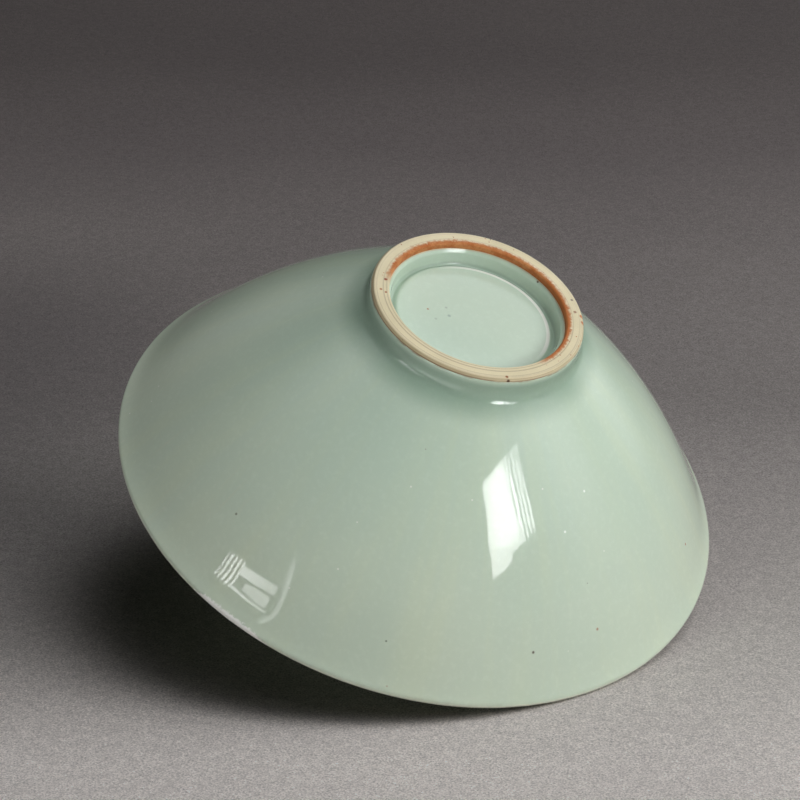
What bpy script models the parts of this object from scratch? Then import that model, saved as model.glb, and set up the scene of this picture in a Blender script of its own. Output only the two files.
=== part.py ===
"""A celadon rice bowl: a turned clay body with a foot ring, and its three coats of glaze.

Units are metres and +Z points up out of the mouth. The origin is the centre of the foot ring's resting face.
Every sub-part is turned, so each one is an outline of (radius, height) points spun about Z.
"""
import math

import bpy
import bmesh
from mathutils import Vector

MM = 0.001

# Driving dimensions of the outside
RIM_RADIUS = 80.0 * MM
BOWL_HEIGHT = 62.0 * MM
FOOT_RADIUS = 27.6 * MM          # the glazed outside of the foot ring
LIP_THICKNESS = 2.8 * MM

# The outside wall is one Bezier curve.
# It leaves the foot at a low angle, steepens, and flares a little at the lip.
WALL_START_HEIGHT = 5.75 * MM    # where the wall would meet the foot ring without the fillet
WALL_START_ANGLE = math.radians(37.5)
WALL_START_PULL = 52.0 * MM
WALL_END_ANGLE = math.radians(45.0)
WALL_END_PULL = 13.5 * MM
FOOT_FILLET = 4.6 * MM

# Inside of the bowl
WALL_THICKNESS_AT_FOOT = 4.6 * MM
FLOOR_HEIGHT = 9.6 * MM
FLOOR_FLATNESS = 17.0 * MM       # how far the floor runs nearly level from the centre
INSIDE_WALL_START_RADIUS = 33.0 * MM
INSIDE_WALL_START_PULL = 7.0 * MM

# Foot ring: bare clay on its face, its chamfers and a narrow band above each of them
RING_OUTER_RADIUS = 27.4 * MM
RING_INNER_RADIUS = 22.9 * MM
RING_OUTER_CHAMFER = 0.55 * MM
RING_INNER_CHAMFER = 0.35 * MM
OUTER_BARE_HEIGHT = 0.9 * MM
INNER_BARE_HEIGHT = 1.5 * MM

# The recess inside the foot ring: a sloping shoulder, a wall, a groove where glaze pools, and a low disc
RECESS_GLAZE_RADIUS = 22.45 * MM  # the recess glaze's skin at its edge on the ring
RECESS_SHOULDER_RADIUS = 21.85 * MM
RECESS_SHOULDER_HEIGHT = 2.6 * MM
RECESS_WALL_FOOT_RADIUS = 21.7 * MM
RECESS_WALL_FOOT_HEIGHT = 5.2 * MM
RECESS_GROOVE_RADIUS = 21.2 * MM
RECESS_GROOVE_HEIGHT = 6.0 * MM
RECESS_DISC_RADIUS = 19.9 * MM
RECESS_DISC_HEIGHT = 5.2 * MM
RECESS_CENTRE_HEIGHT = 4.9 * MM
RECESS_DISC_HOLLOW = 0.06 * MM   # how far the disc dips below a straight slope

# Coats of glaze
GLAZE_THICKNESS = 0.4 * MM
COAT_GAP = 0.3 * MM              # clearance between a coat and the clay, and between two coats
COAT = GLAZE_THICKNESS + COAT_GAP
SEAM_SHARE = 0.15                # the outer and inner coats stop this share of a step short of the crest

LIP_CREST = WALL_END_ANGLE       # the crest faces the way the wall points
LIP_OUTSIDE = WALL_END_ANGLE - math.pi / 2
LIP_INSIDE = WALL_END_ANGLE + math.pi / 2

SEGMENTS = 48
MERGE_DISTANCE = 0.01 * MM
CREASE_ANGLE = math.radians(35)
AFTER_FILLET = 1.15              # the wall's first point lies this many tangents past the corner


def clear_scene():
    for obj in list(bpy.data.objects):
        bpy.data.objects.remove(obj, do_unlink=True)


def make_material(name, colour, roughness, coat):
    material = bpy.data.materials.new(name)
    material.use_nodes = True
    shader = material.node_tree.nodes["Principled BSDF"]
    shader.inputs["Base Color"].default_value = (*colour, 1.0)
    shader.inputs["Roughness"].default_value = roughness
    shader.inputs["Metallic"].default_value = 0.0
    shader.inputs["Coat Weight"].default_value = coat
    return material


def heading(angle):
    """Unit vector in the outline's plane, angle counted from outward towards up."""
    return Vector((math.cos(angle), math.sin(angle)))


def bezier(start, start_angle, start_pull, end, end_angle, end_pull, count, first=0.0):
    """Points along a cubic Bezier from parameter first to 1."""
    pull_a = start + heading(start_angle) * start_pull
    pull_b = end - heading(end_angle) * end_pull
    points = []
    for i in range(count):
        t = first + (1.0 - first) * i / (count - 1)
        s = 1.0 - t
        points.append(s**3 * start + 3 * s * s * t * pull_a + 3 * s * t * t * pull_b + t**3 * end)
    return points


def arc(centre, radius, first_angle, last_angle, count):
    points = []
    for i in range(count):
        angle = first_angle + (last_angle - first_angle) * i / (count - 1)
        points.append(centre + heading(angle) * radius)
    return points


def shifted(points, distance):
    """The same line moved sideways to its left. distance is one number, or a function of a point."""
    moved = []
    last = len(points) - 1
    for i, point in enumerate(points):
        along = (points[min(i + 1, last)] - points[max(i - 1, 0)]).normalized()
        step = distance(point) if callable(distance) else distance
        moved.append(point + Vector((-along.y, along.x)) * step)
    return moved


def outside_wall():
    """Skin of the outer glaze, from its edge on the foot ring up to where the lip's rounding starts."""
    corner = Vector((FOOT_RADIUS, WALL_START_HEIGHT))
    turn = math.pi / 2 - WALL_START_ANGLE
    tangent = FOOT_FILLET * math.tan(turn / 2)
    fillet_centre = Vector((FOOT_RADIUS + FOOT_FILLET, WALL_START_HEIGHT - tangent))
    fillet = arc(fillet_centre, FOOT_FILLET, math.pi, math.pi - turn, 5)
    wall_end = lip_centre() + heading(WALL_END_ANGLE - math.pi / 2) * LIP_THICKNESS / 2
    # near its start the curve covers three pulls for each unit of its parameter
    first = AFTER_FILLET * tangent / (3 * WALL_START_PULL)
    wall = bezier(corner, WALL_START_ANGLE, WALL_START_PULL,
                  wall_end, WALL_END_ANGLE, WALL_END_PULL, 12, first)
    return [Vector((FOOT_RADIUS, OUTER_BARE_HEIGHT + COAT_GAP))] + fillet + wall[1:]


def lip_centre():
    return Vector((RIM_RADIUS - LIP_THICKNESS / 2, BOWL_HEIGHT - LIP_THICKNESS / 2))


def inside_wall():
    """Skin of the inner glaze, from the middle of the floor up to where the lip's rounding starts."""
    wall = outside_wall()
    low, high = INSIDE_WALL_START_RADIUS, RIM_RADIUS

    def thickness(point):
        share = min(max((point.x - low) / (high - low), 0.0), 1.0)
        return WALL_THICKNESS_AT_FOOT + (LIP_THICKNESS - WALL_THICKNESS_AT_FOOT) * share

    upper = [p for p in shifted(wall, thickness) if p.x > low]
    slope = math.atan2(upper[1].y - upper[0].y, upper[1].x - upper[0].x)
    middle = Vector((0.0, FLOOR_HEIGHT))
    floor = bezier(middle, 0.0, FLOOR_FLATNESS, upper[0], slope, INSIDE_WALL_START_PULL, 7)
    return floor + upper[1:]


def recess_skin():
    """Skin of the recess glaze, from its edge on the ring's inner wall to the middle of the disc."""
    edge = Vector((RECESS_GLAZE_RADIUS, INNER_BARE_HEIGHT + COAT_GAP))
    shoulder = Vector((RECESS_SHOULDER_RADIUS, RECESS_SHOULDER_HEIGHT))
    wall_foot = Vector((RECESS_WALL_FOOT_RADIUS, RECESS_WALL_FOOT_HEIGHT))
    groove = Vector((RECESS_GROOVE_RADIUS, RECESS_GROOVE_HEIGHT))
    disc_edge = Vector((RECESS_DISC_RADIUS, RECESS_DISC_HEIGHT))
    centre = Vector((0.0, RECESS_CENTRE_HEIGHT))
    middle = centre.lerp(disc_edge, 0.5) - Vector((0.0, RECESS_DISC_HOLLOW))
    return [edge, shoulder, wall_foot, groove, disc_edge, middle, centre]


def lip_half(first_angle, last_angle, inset=0.0):
    return arc(lip_centre(), LIP_THICKNESS / 2 - inset, first_angle, last_angle, 3)


def clay_outline():
    """From the floor's middle out over the lip, down the outside, round the foot ring and into the recess."""
    inside = shifted(inside_wall(), -COAT)
    inside[0].x = 0.0
    lip = lip_half(LIP_INSIDE, LIP_CREST, COAT)[1:] + lip_half(LIP_CREST, LIP_OUTSIDE, COAT)[1:-1]
    outside = shifted(outside_wall(), COAT)
    ring = [
        Vector((FOOT_RADIUS - COAT, OUTER_BARE_HEIGHT)),
        Vector((RING_OUTER_RADIUS, OUTER_BARE_HEIGHT)),
        Vector((RING_OUTER_RADIUS, RING_OUTER_CHAMFER)),
        Vector((RING_OUTER_RADIUS - RING_OUTER_CHAMFER, 0.0)),
        Vector((RING_INNER_RADIUS + RING_INNER_CHAMFER, 0.0)),
        Vector((RING_INNER_RADIUS, RING_INNER_CHAMFER)),
        Vector((RING_INNER_RADIUS, INNER_BARE_HEIGHT)),
        Vector((RECESS_GLAZE_RADIUS + COAT, INNER_BARE_HEIGHT)),
    ]
    recess = [Vector((p.x + COAT, p.y + COAT)) for p in recess_skin()[1:4]]
    recess += [p + Vector((0.0, COAT)) for p in recess_skin()[4:]]
    return inside + lip + outside[:0:-1] + ring + recess


def outer_glaze_outline():
    skin = outside_wall() + lip_half(LIP_OUTSIDE, LIP_CREST)[1:]
    skin[-1] = skin[-1].lerp(skin[-2], SEAM_SHARE)
    back = shifted(outside_wall(), GLAZE_THICKNESS)
    back += lip_half(LIP_OUTSIDE, LIP_CREST, GLAZE_THICKNESS)[1:]
    back[-1] = back[-1].lerp(back[-2], SEAM_SHARE)
    return skin + back[::-1]


def inner_glaze_outline():
    skin = inside_wall() + lip_half(LIP_INSIDE, LIP_CREST)[1:]
    skin[-1] = skin[-1].lerp(skin[-2], SEAM_SHARE)
    back = shifted(inside_wall(), -GLAZE_THICKNESS)
    back[0].x = 0.0
    back += lip_half(LIP_INSIDE, LIP_CREST, GLAZE_THICKNESS)[1:]
    back[-1] = back[-1].lerp(back[-2], SEAM_SHARE)
    return skin + back[::-1]


def recess_glaze_outline():
    skin = recess_skin()
    back = [Vector((skin[0].x + GLAZE_THICKNESS, skin[0].y))]
    back += [Vector((p.x + GLAZE_THICKNESS, p.y + GLAZE_THICKNESS)) for p in skin[1:4]]
    back += [p + Vector((0.0, GLAZE_THICKNESS)) for p in skin[4:]]
    return skin[::-1] + back


def turned(name, outline, closed, material):
    """Spins an outline about Z. An open outline starts and ends on the axis; a closed one stays clear of it."""
    bm = bmesh.new()
    verts = [bm.verts.new((p.x, 0.0, p.y)) for p in outline]
    edges = [bm.edges.new(pair) for pair in zip(verts, verts[1:])]
    if closed:
        edges.append(bm.edges.new((verts[-1], verts[0])))
    bmesh.ops.spin(
        bm, geom=verts + edges, cent=(0.0, 0.0, 0.0), axis=(0.0, 0.0, 1.0), angle=2 * math.pi, steps=SEGMENTS,
        use_merge=True,
    )
    bmesh.ops.remove_doubles(bm, verts=bm.verts, dist=MERGE_DISTANCE)
    bmesh.ops.recalc_face_normals(bm, faces=bm.faces)
    mesh = bpy.data.meshes.new(name)
    bm.to_mesh(mesh)
    bm.free()
    mesh.shade_smooth()
    mesh.set_sharp_from_angle(angle=CREASE_ANGLE)
    mesh.materials.append(material)
    obj = bpy.data.objects.new(name, mesh)
    bpy.context.scene.collection.objects.link(obj)
    return obj


clear_scene()

clay = make_material("bare_clay", (0.60, 0.48, 0.32), 0.85, 0.0)
outside_celadon = make_material("celadon_outside", (0.47, 0.60, 0.48), 0.25, 1.0)
inside_celadon = make_material("celadon_inside", (0.49, 0.62, 0.50), 0.25, 1.0)
foot_celadon = make_material("celadon_foot", (0.45, 0.60, 0.48), 0.25, 1.0)

turned("clay_body", clay_outline(), False, clay)
turned("outer_glaze", outer_glaze_outline(), True, outside_celadon)
turned("inner_glaze", inner_glaze_outline(), False, inside_celadon)
turned("foot_recess_glaze", recess_glaze_outline(), False, foot_celadon)
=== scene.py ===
"""Looks of the celadon rice bowl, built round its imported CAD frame.

Units are metres, +Z points up out of the mouth, and the origin is the centre of the foot ring's resting face.
The main camera sees the bowl lying on its lip, foot up, so it looks from below the frame's own table.
"""
import math

import bmesh
import bpy
from mathutils import Matrix, Vector


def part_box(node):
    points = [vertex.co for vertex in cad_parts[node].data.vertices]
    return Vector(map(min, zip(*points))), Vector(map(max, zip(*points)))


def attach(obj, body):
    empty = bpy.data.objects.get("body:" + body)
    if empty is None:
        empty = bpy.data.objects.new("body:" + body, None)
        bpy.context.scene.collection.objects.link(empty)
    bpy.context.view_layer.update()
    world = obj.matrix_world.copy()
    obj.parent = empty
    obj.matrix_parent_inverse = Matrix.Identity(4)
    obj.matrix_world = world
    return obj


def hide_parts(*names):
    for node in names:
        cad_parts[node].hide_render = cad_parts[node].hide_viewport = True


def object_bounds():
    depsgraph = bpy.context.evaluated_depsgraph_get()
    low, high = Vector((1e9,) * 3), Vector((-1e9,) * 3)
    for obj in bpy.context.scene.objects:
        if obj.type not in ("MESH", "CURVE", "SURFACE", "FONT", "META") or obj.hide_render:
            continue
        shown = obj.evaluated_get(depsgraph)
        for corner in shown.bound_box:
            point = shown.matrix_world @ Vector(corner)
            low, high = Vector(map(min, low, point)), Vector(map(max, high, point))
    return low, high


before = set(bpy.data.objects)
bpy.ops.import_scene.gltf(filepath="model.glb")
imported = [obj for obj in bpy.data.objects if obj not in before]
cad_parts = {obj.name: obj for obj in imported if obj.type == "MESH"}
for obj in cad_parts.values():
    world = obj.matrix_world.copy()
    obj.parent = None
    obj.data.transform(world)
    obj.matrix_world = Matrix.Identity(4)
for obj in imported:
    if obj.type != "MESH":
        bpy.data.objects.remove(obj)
cad_low, cad_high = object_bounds()

MM = 0.001

# ------------------------ sizes, from the frame and the CAD's own profile

RIM_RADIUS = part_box("outer_glaze")[1].x
BOWL_HEIGHT = cad_high.z
FOOT_RADIUS = 27.6 * MM          # the glazed outside of the foot ring
LIP_THICKNESS = 2.8 * MM

WALL_START_HEIGHT = 5.75 * MM
WALL_START_ANGLE = math.radians(37.5)
WALL_START_PULL = 52.0 * MM
WALL_END_ANGLE = math.radians(45.0)
WALL_END_PULL = 13.5 * MM
FOOT_FILLET = 4.6 * MM

WALL_THICKNESS_AT_FOOT = 4.6 * MM
FLOOR_HEIGHT = 9.6 * MM
FLOOR_FLATNESS = 17.0 * MM
INSIDE_WALL_START_RADIUS = 33.0 * MM
INSIDE_WALL_START_PULL = 7.0 * MM

RING_OUTER_RADIUS = 27.4 * MM
RING_INNER_RADIUS = 22.9 * MM
RING_OUTER_CHAMFER = 0.55 * MM
RING_INNER_CHAMFER = 0.35 * MM
OUTER_BARE_HEIGHT = 1.0 * MM     # the glaze outside the ring starts here
INNER_BARE_HEIGHT = 1.7 * MM     # and the recess glaze here
FACE_RIDGE = 0.035 * MM          # depth of the lines that the turning tool left on the ring's face

RECESS_SHOULDER_RADIUS = 22.05 * MM
RECESS_SHOULDER_HEIGHT = 2.6 * MM
RECESS_WALL_FOOT_RADIUS = 21.7 * MM
RECESS_WALL_FOOT_HEIGHT = 5.2 * MM
RECESS_GROOVE_RADIUS = 21.05 * MM
RECESS_GROOVE_HEIGHT = 6.0 * MM
RECESS_DISC_RADIUS = 19.9 * MM
RECESS_DISC_HEIGHT = 5.2 * MM
RECESS_CENTRE_HEIGHT = 4.9 * MM
DISC_BULGE = 0.045 * MM          # how far the disc stands out of an even slope, half way in

GLAZE = 0.35 * MM                # how thick a coat is
BEDDED = 0.1 * MM                # how far a coat's back is sunk into the clay, so that no gap shows
EDGE_ROLL = 0.6 * MM             # how far a coat's lower edge takes to roll onto the clay
EDGE_CLEAR = 0.3 * MM            # how far the bare clay goes on under a coat's lower edge

SEGMENTS = 384
FILLET_STEPS = 15
WALL_STEPS = 90
FLOOR_STEPS = 40
LIP_STEPS = 24
ON_AXIS = 0.0001 * MM            # a point closer to the bowl's axis than this counts as on it


# ------------------------ outlines, as (radius, height) points

def heading(angle):
    """Unit vector in the outline's plane, angle counted from outward towards up."""
    return Vector((math.cos(angle), math.sin(angle)))


def bezier(start, start_angle, start_pull, end, end_angle, end_pull, count, first=0.0):
    """Points along a cubic Bezier from parameter first to 1."""
    pull_a = start + heading(start_angle) * start_pull
    pull_b = end - heading(end_angle) * end_pull
    points = []
    for i in range(count):
        t = first + (1.0 - first) * i / (count - 1)
        s = 1.0 - t
        points.append(s**3 * start + 3 * s * s * t * pull_a + 3 * s * t * t * pull_b + t**3 * end)
    return points


def arc(centre, radius, first_angle, last_angle, count):
    points = []
    for i in range(count):
        angle = first_angle + (last_angle - first_angle) * i / (count - 1)
        points.append(centre + heading(angle) * radius)
    return points


def shifted(points, distance):
    """The same line moved sideways to its left. distance is one number, or a function of a point."""
    moved = []
    last = len(points) - 1
    for i, point in enumerate(points):
        along = (points[min(i + 1, last)] - points[max(i - 1, 0)]).normalized()
        step = distance(point) if callable(distance) else distance
        moved.append(point + Vector((-along.y, along.x)) * step)
    return moved


def rounded(corners, steps=7):
    """A line through (radius, height, rounding) corners, each inner corner turned into an arc-like curve."""
    line = [Vector(corners[0][:2])]
    for before, corner, after in zip(corners, corners[1:], corners[2:]):
        here = Vector(corner[:2])
        to_before = Vector(before[:2]) - here
        to_after = Vector(after[:2]) - here
        reach = min(corner[2], 0.49 * to_before.length, 0.49 * to_after.length)
        start = here + to_before.normalized() * reach
        end = here + to_after.normalized() * reach
        for i in range(steps):
            t = i / (steps - 1)
            line.append((1 - t) ** 2 * start + 2 * t * (1 - t) * here + t * t * end)
    line.append(Vector(corners[-1][:2]))
    return line


def divided(points, step):
    """The line with extra points, so that no two are further apart than step."""
    line = [points[0]]
    for a, b in zip(points, points[1:]):
        count = max(1, math.ceil((b - a).length / step))
        line += [a.lerp(b, i / count) for i in range(1, count + 1)]
    return line


LIP_CENTRE = Vector((RIM_RADIUS - LIP_THICKNESS / 2, BOWL_HEIGHT - LIP_THICKNESS / 2))
LIP_CREST = WALL_END_ANGLE
LIP_OUTSIDE = WALL_END_ANGLE - math.pi / 2
LIP_INSIDE = WALL_END_ANGLE + math.pi / 2


def lip_half(first_angle, last_angle, inset=0.0):
    return arc(LIP_CENTRE, LIP_THICKNESS / 2 - inset, first_angle, last_angle, LIP_STEPS)


def outside_wall():
    """Skin of the outer glaze, from the foot of the ring's fillet up to where the lip's rounding starts."""
    corner = Vector((FOOT_RADIUS, WALL_START_HEIGHT))
    turn = math.pi / 2 - WALL_START_ANGLE
    tangent = FOOT_FILLET * math.tan(turn / 2)
    fillet_centre = Vector((FOOT_RADIUS + FOOT_FILLET, WALL_START_HEIGHT - tangent))
    fillet = arc(fillet_centre, FOOT_FILLET, math.pi, math.pi - turn, FILLET_STEPS)
    wall_end = LIP_CENTRE + heading(LIP_OUTSIDE) * LIP_THICKNESS / 2
    first = tangent / (3 * WALL_START_PULL)
    wall = bezier(corner, WALL_START_ANGLE, WALL_START_PULL, wall_end, WALL_END_ANGLE, WALL_END_PULL,
                  WALL_STEPS, first)
    return fillet + wall[1:]


def inside_wall():
    """Skin of the inner glaze, from the middle of the floor up to where the lip's rounding starts."""
    low, high = INSIDE_WALL_START_RADIUS, RIM_RADIUS

    def thickness(point):
        share = min(max((point.x - low) / (high - low), 0.0), 1.0)
        return WALL_THICKNESS_AT_FOOT + (LIP_THICKNESS - WALL_THICKNESS_AT_FOOT) * share

    upper = [p for p in shifted(outside_wall(), thickness) if p.x > low]
    slope = math.atan2(upper[1].y - upper[0].y, upper[1].x - upper[0].x)
    middle = Vector((0.0, FLOOR_HEIGHT))
    floor = bezier(middle, 0.0, FLOOR_FLATNESS, upper[0], slope, INSIDE_WALL_START_PULL, FLOOR_STEPS)
    return floor + upper[1:]


def foot_wall():
    """Skin of the outer glaze on the ring: a rolled edge on the bare clay, then the straight wall."""
    start = outside_wall()[0]
    edge = OUTER_BARE_HEIGHT
    return rounded([
        (RING_OUTER_RADIUS - BEDDED, edge - 0.02 * MM, 0.0),
        (RING_OUTER_RADIUS + 0.10 * MM, edge, 0.10 * MM),
        (FOOT_RADIUS + 0.05 * MM, edge + 0.45 * MM, 0.3 * MM),
        (FOOT_RADIUS, edge + 1.4 * MM, 0.6 * MM),
        (start.x, start.y, 0.0),
    ])


def recess_skin():
    """Skin of the recess glaze, from its rolled edge on the ring's inner wall to the middle of the disc."""
    edge = INNER_BARE_HEIGHT
    half_way_height = (RECESS_DISC_HEIGHT + RECESS_CENTRE_HEIGHT) / 2 - DISC_BULGE
    line = rounded([
        (RING_INNER_RADIUS + BEDDED, edge - 0.02 * MM, 0.0),
        (RING_INNER_RADIUS - 0.10 * MM, edge, 0.10 * MM),
        (RECESS_SHOULDER_RADIUS, RECESS_SHOULDER_HEIGHT, 0.30 * MM),
        (RECESS_WALL_FOOT_RADIUS, RECESS_WALL_FOOT_HEIGHT, 0.9 * MM),
        (RECESS_GROOVE_RADIUS, RECESS_GROOVE_HEIGHT, 0.5 * MM),
        (RECESS_DISC_RADIUS, RECESS_DISC_HEIGHT, 0.7 * MM),
        (RECESS_DISC_RADIUS / 2, half_way_height, 6.0 * MM),
        (0.0, RECESS_CENTRE_HEIGHT, 0.0),
    ], steps=9)
    return divided(line, 1.0 * MM)


def recess_back(depth):
    """The recess skin without its rolled edge, moved into the clay: outward on the wall, up on the disc."""
    skin = [p for p in recess_skin() if p.y > INNER_BARE_HEIGHT + EDGE_ROLL or p.x < RECESS_GROOVE_RADIUS]
    moved = [p + Vector((depth * min(p.x / RECESS_GROOVE_RADIUS, 1.0) ** 8, depth)) for p in skin]
    moved[-1].x = 0.0
    return moved


# lines across the ring's face: (share of the depth, radians from the inner to the outer edge, shift)
FACE_LINES = [(0.3, 31.0, 0.0), (0.2, 73.0, 1.3)]


def ring_outline():
    """The foot ring's bare clay, from the outer glaze's edge over the face to the recess glaze's edge."""
    face = rounded([
        (RING_OUTER_RADIUS, OUTER_BARE_HEIGHT + EDGE_CLEAR, 0.0),
        (RING_OUTER_RADIUS, RING_OUTER_CHAMFER, 0.08 * MM),
        (RING_OUTER_RADIUS - RING_OUTER_CHAMFER, 0.0, 0.10 * MM),
        (RING_INNER_RADIUS + RING_INNER_CHAMFER, 0.0, 0.12 * MM),
        (RING_INNER_RADIUS, RING_INNER_CHAMFER, 0.15 * MM),
        (RING_INNER_RADIUS, INNER_BARE_HEIGHT + EDGE_CLEAR, 0.0),
    ], steps=6)
    line = divided(face, 0.09 * MM)
    outer_edge = RING_OUTER_RADIUS - RING_OUTER_CHAMFER
    inner_edge = RING_INNER_RADIUS + RING_INNER_CHAMFER
    width = outer_edge - inner_edge
    for point in line:
        across = (point.x - inner_edge) / width
        if 0.0 < across < 1.0 and point.y < RING_INNER_CHAMFER / 2:
            fade = math.sin(math.pi * across) ** 0.3
            wave = 0.5 + sum(share * math.sin(across * turn + shift) for share, turn, shift in FACE_LINES)
            point.y += FACE_RIDGE * fade * wave
    return line


def clay_outline():
    """From the middle of the floor over the lip, down the outside, round the ring and into the recess."""
    inside = shifted(inside_wall(), -GLAZE)
    inside[0].x = 0.0
    lip = lip_half(LIP_INSIDE, LIP_CREST, GLAZE)[1:] + lip_half(LIP_CREST, LIP_OUTSIDE, GLAZE)[1:-1]
    outside = shifted(outside_wall(), GLAZE)
    return inside + lip + outside[::-1] + ring_outline() + recess_back(GLAZE)


def outer_glaze_outline():
    skin = foot_wall() + outside_wall()[1:] + lip_half(LIP_OUTSIDE, LIP_CREST)[1:]
    back = shifted(outside_wall(), GLAZE + BEDDED) + lip_half(LIP_OUTSIDE, LIP_CREST, GLAZE + BEDDED)[1:]
    low_back = Vector((RING_OUTER_RADIUS - BEDDED, OUTER_BARE_HEIGHT + EDGE_ROLL))
    return skin + back[::-1] + [low_back]


def inner_glaze_outline():
    skin = inside_wall() + lip_half(LIP_INSIDE, LIP_CREST)[1:]
    back = shifted(inside_wall(), -GLAZE - BEDDED)
    back[0].x = 0.0
    back += lip_half(LIP_INSIDE, LIP_CREST, GLAZE + BEDDED)[1:]
    return skin + back[::-1]


def recess_glaze_outline():
    low_back = Vector((RING_INNER_RADIUS + BEDDED, INNER_BARE_HEIGHT + EDGE_ROLL))
    return recess_skin()[::-1] + [low_back] + recess_back(GLAZE + BEDDED)


# ------------------------ turned meshes

SAG_DEPTH = 0.22 * MM             # the wall sags out and down a little, between these radii
SAG_START, SAG_DEEPEST, SAG_END = 61.0 * MM, 73.5 * MM, 79.0 * MM
OVAL_WARP = 0.10 * MM             # how far the rim is pulled oval by the kiln
THREE_SIDED_WARP = 0.06 * MM      # and three-sided
WARP_DROP = 0.2                   # how far a warped place drops, as a share of how far it moves in
THROWING_RING_DEPTH = 0.006 * MM
THROWING_RING_TURN = 0.72 / MM    # radians of the rings' wave per metre outward


def smooth_hump(value, start, top, end):
    """0 up to start, rising to 1 at top and back to 0 at end."""
    if not start < value < end:
        return 0.0
    share = (value - start) / (top - start) if value < top else (end - value) / (end - top)
    return 0.5 - 0.5 * math.cos(math.pi * share)


def out_of_true(x, y, z):
    """What the wheel and the kiln did: a sag, a warp that grows to the rim, and faint throwing rings.

    The warp only moves the rim inward, so that the bowl stays inside its CAD box.
    """
    radius = math.hypot(x, y)
    if radius < ON_AXIS:
        return x, y, z
    azimuth = math.atan2(y, x)
    up_wall = min(max((radius - FOOT_RADIUS) / (RIM_RADIUS - FOOT_RADIUS), 0.0), 1.0)
    sag = SAG_DEPTH * smooth_hump(radius, SAG_START, SAG_DEEPEST, SAG_END)
    warp = OVAL_WARP * (math.sin(2 * azimuth + 0.6) - 1)
    warp += THREE_SIDED_WARP * (math.sin(3 * azimuth + 2.1) - 1)
    on_wall = math.sin(math.pi * up_wall)
    rings = THROWING_RING_DEPTH * math.sin(radius * THROWING_RING_TURN + 0.35 * math.sin(azimuth + 1.0))
    out = warp * up_wall**2 + rings * on_wall
    scale = (1 + sag / radius * math.sin(WALL_END_ANGLE)) * (radius + out) / radius
    drop = sag * math.cos(WALL_END_ANGLE) + abs(out) * WARP_DROP * up_wall
    return x * scale, y * scale, z - drop


def turned(name, outline, closed=False, steps=SEGMENTS, hand_made=True):
    """Spins an outline about Z. An open one starts on the axis, and a closed one is a ring round it.

    What is hand made is slightly out of true, and is solid, so its faces are turned outward.
    """
    points, faces, rows = [], [], []
    for p in outline:
        if abs(p.x) < ON_AXIS:
            points.append((0.0, 0.0, p.y))
            rows.append([len(points) - 1] * steps)
            continue
        first = len(points)
        for i in range(steps):
            angle = 2 * math.pi * i / steps
            points.append((p.x * math.cos(angle), p.x * math.sin(angle), p.y))
        rows.append(range(first, first + steps))
    pairs = list(zip(rows, rows[1:])) + ([(rows[-1], rows[0])] if closed else [])
    for a, b in pairs:
        for i in range(steps):
            j = (i + 1) % steps
            corners = dict.fromkeys((a[i], a[j], b[j], b[i]))
            faces.append(tuple(corners)[::-1])
    if hand_made:
        points = [out_of_true(*p) for p in points]
    mesh = bpy.data.meshes.new(name)
    mesh.from_pydata(points, [], faces)
    if hand_made:
        solid = bmesh.new()
        solid.from_mesh(mesh)
        bmesh.ops.recalc_face_normals(solid, faces=solid.faces)
        solid.to_mesh(mesh)
        solid.free()
    mesh.shade_smooth()
    obj = bpy.data.objects.new(name, mesh)
    bpy.context.scene.collection.objects.link(obj)
    return obj


# ------------------------ node helpers

# where the Mix node keeps its factor, its two colours and its coloured result
MIX_FACTOR, MIX_FIRST, MIX_SECOND, MIX_RESULT = 0, 6, 7, 2


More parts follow.
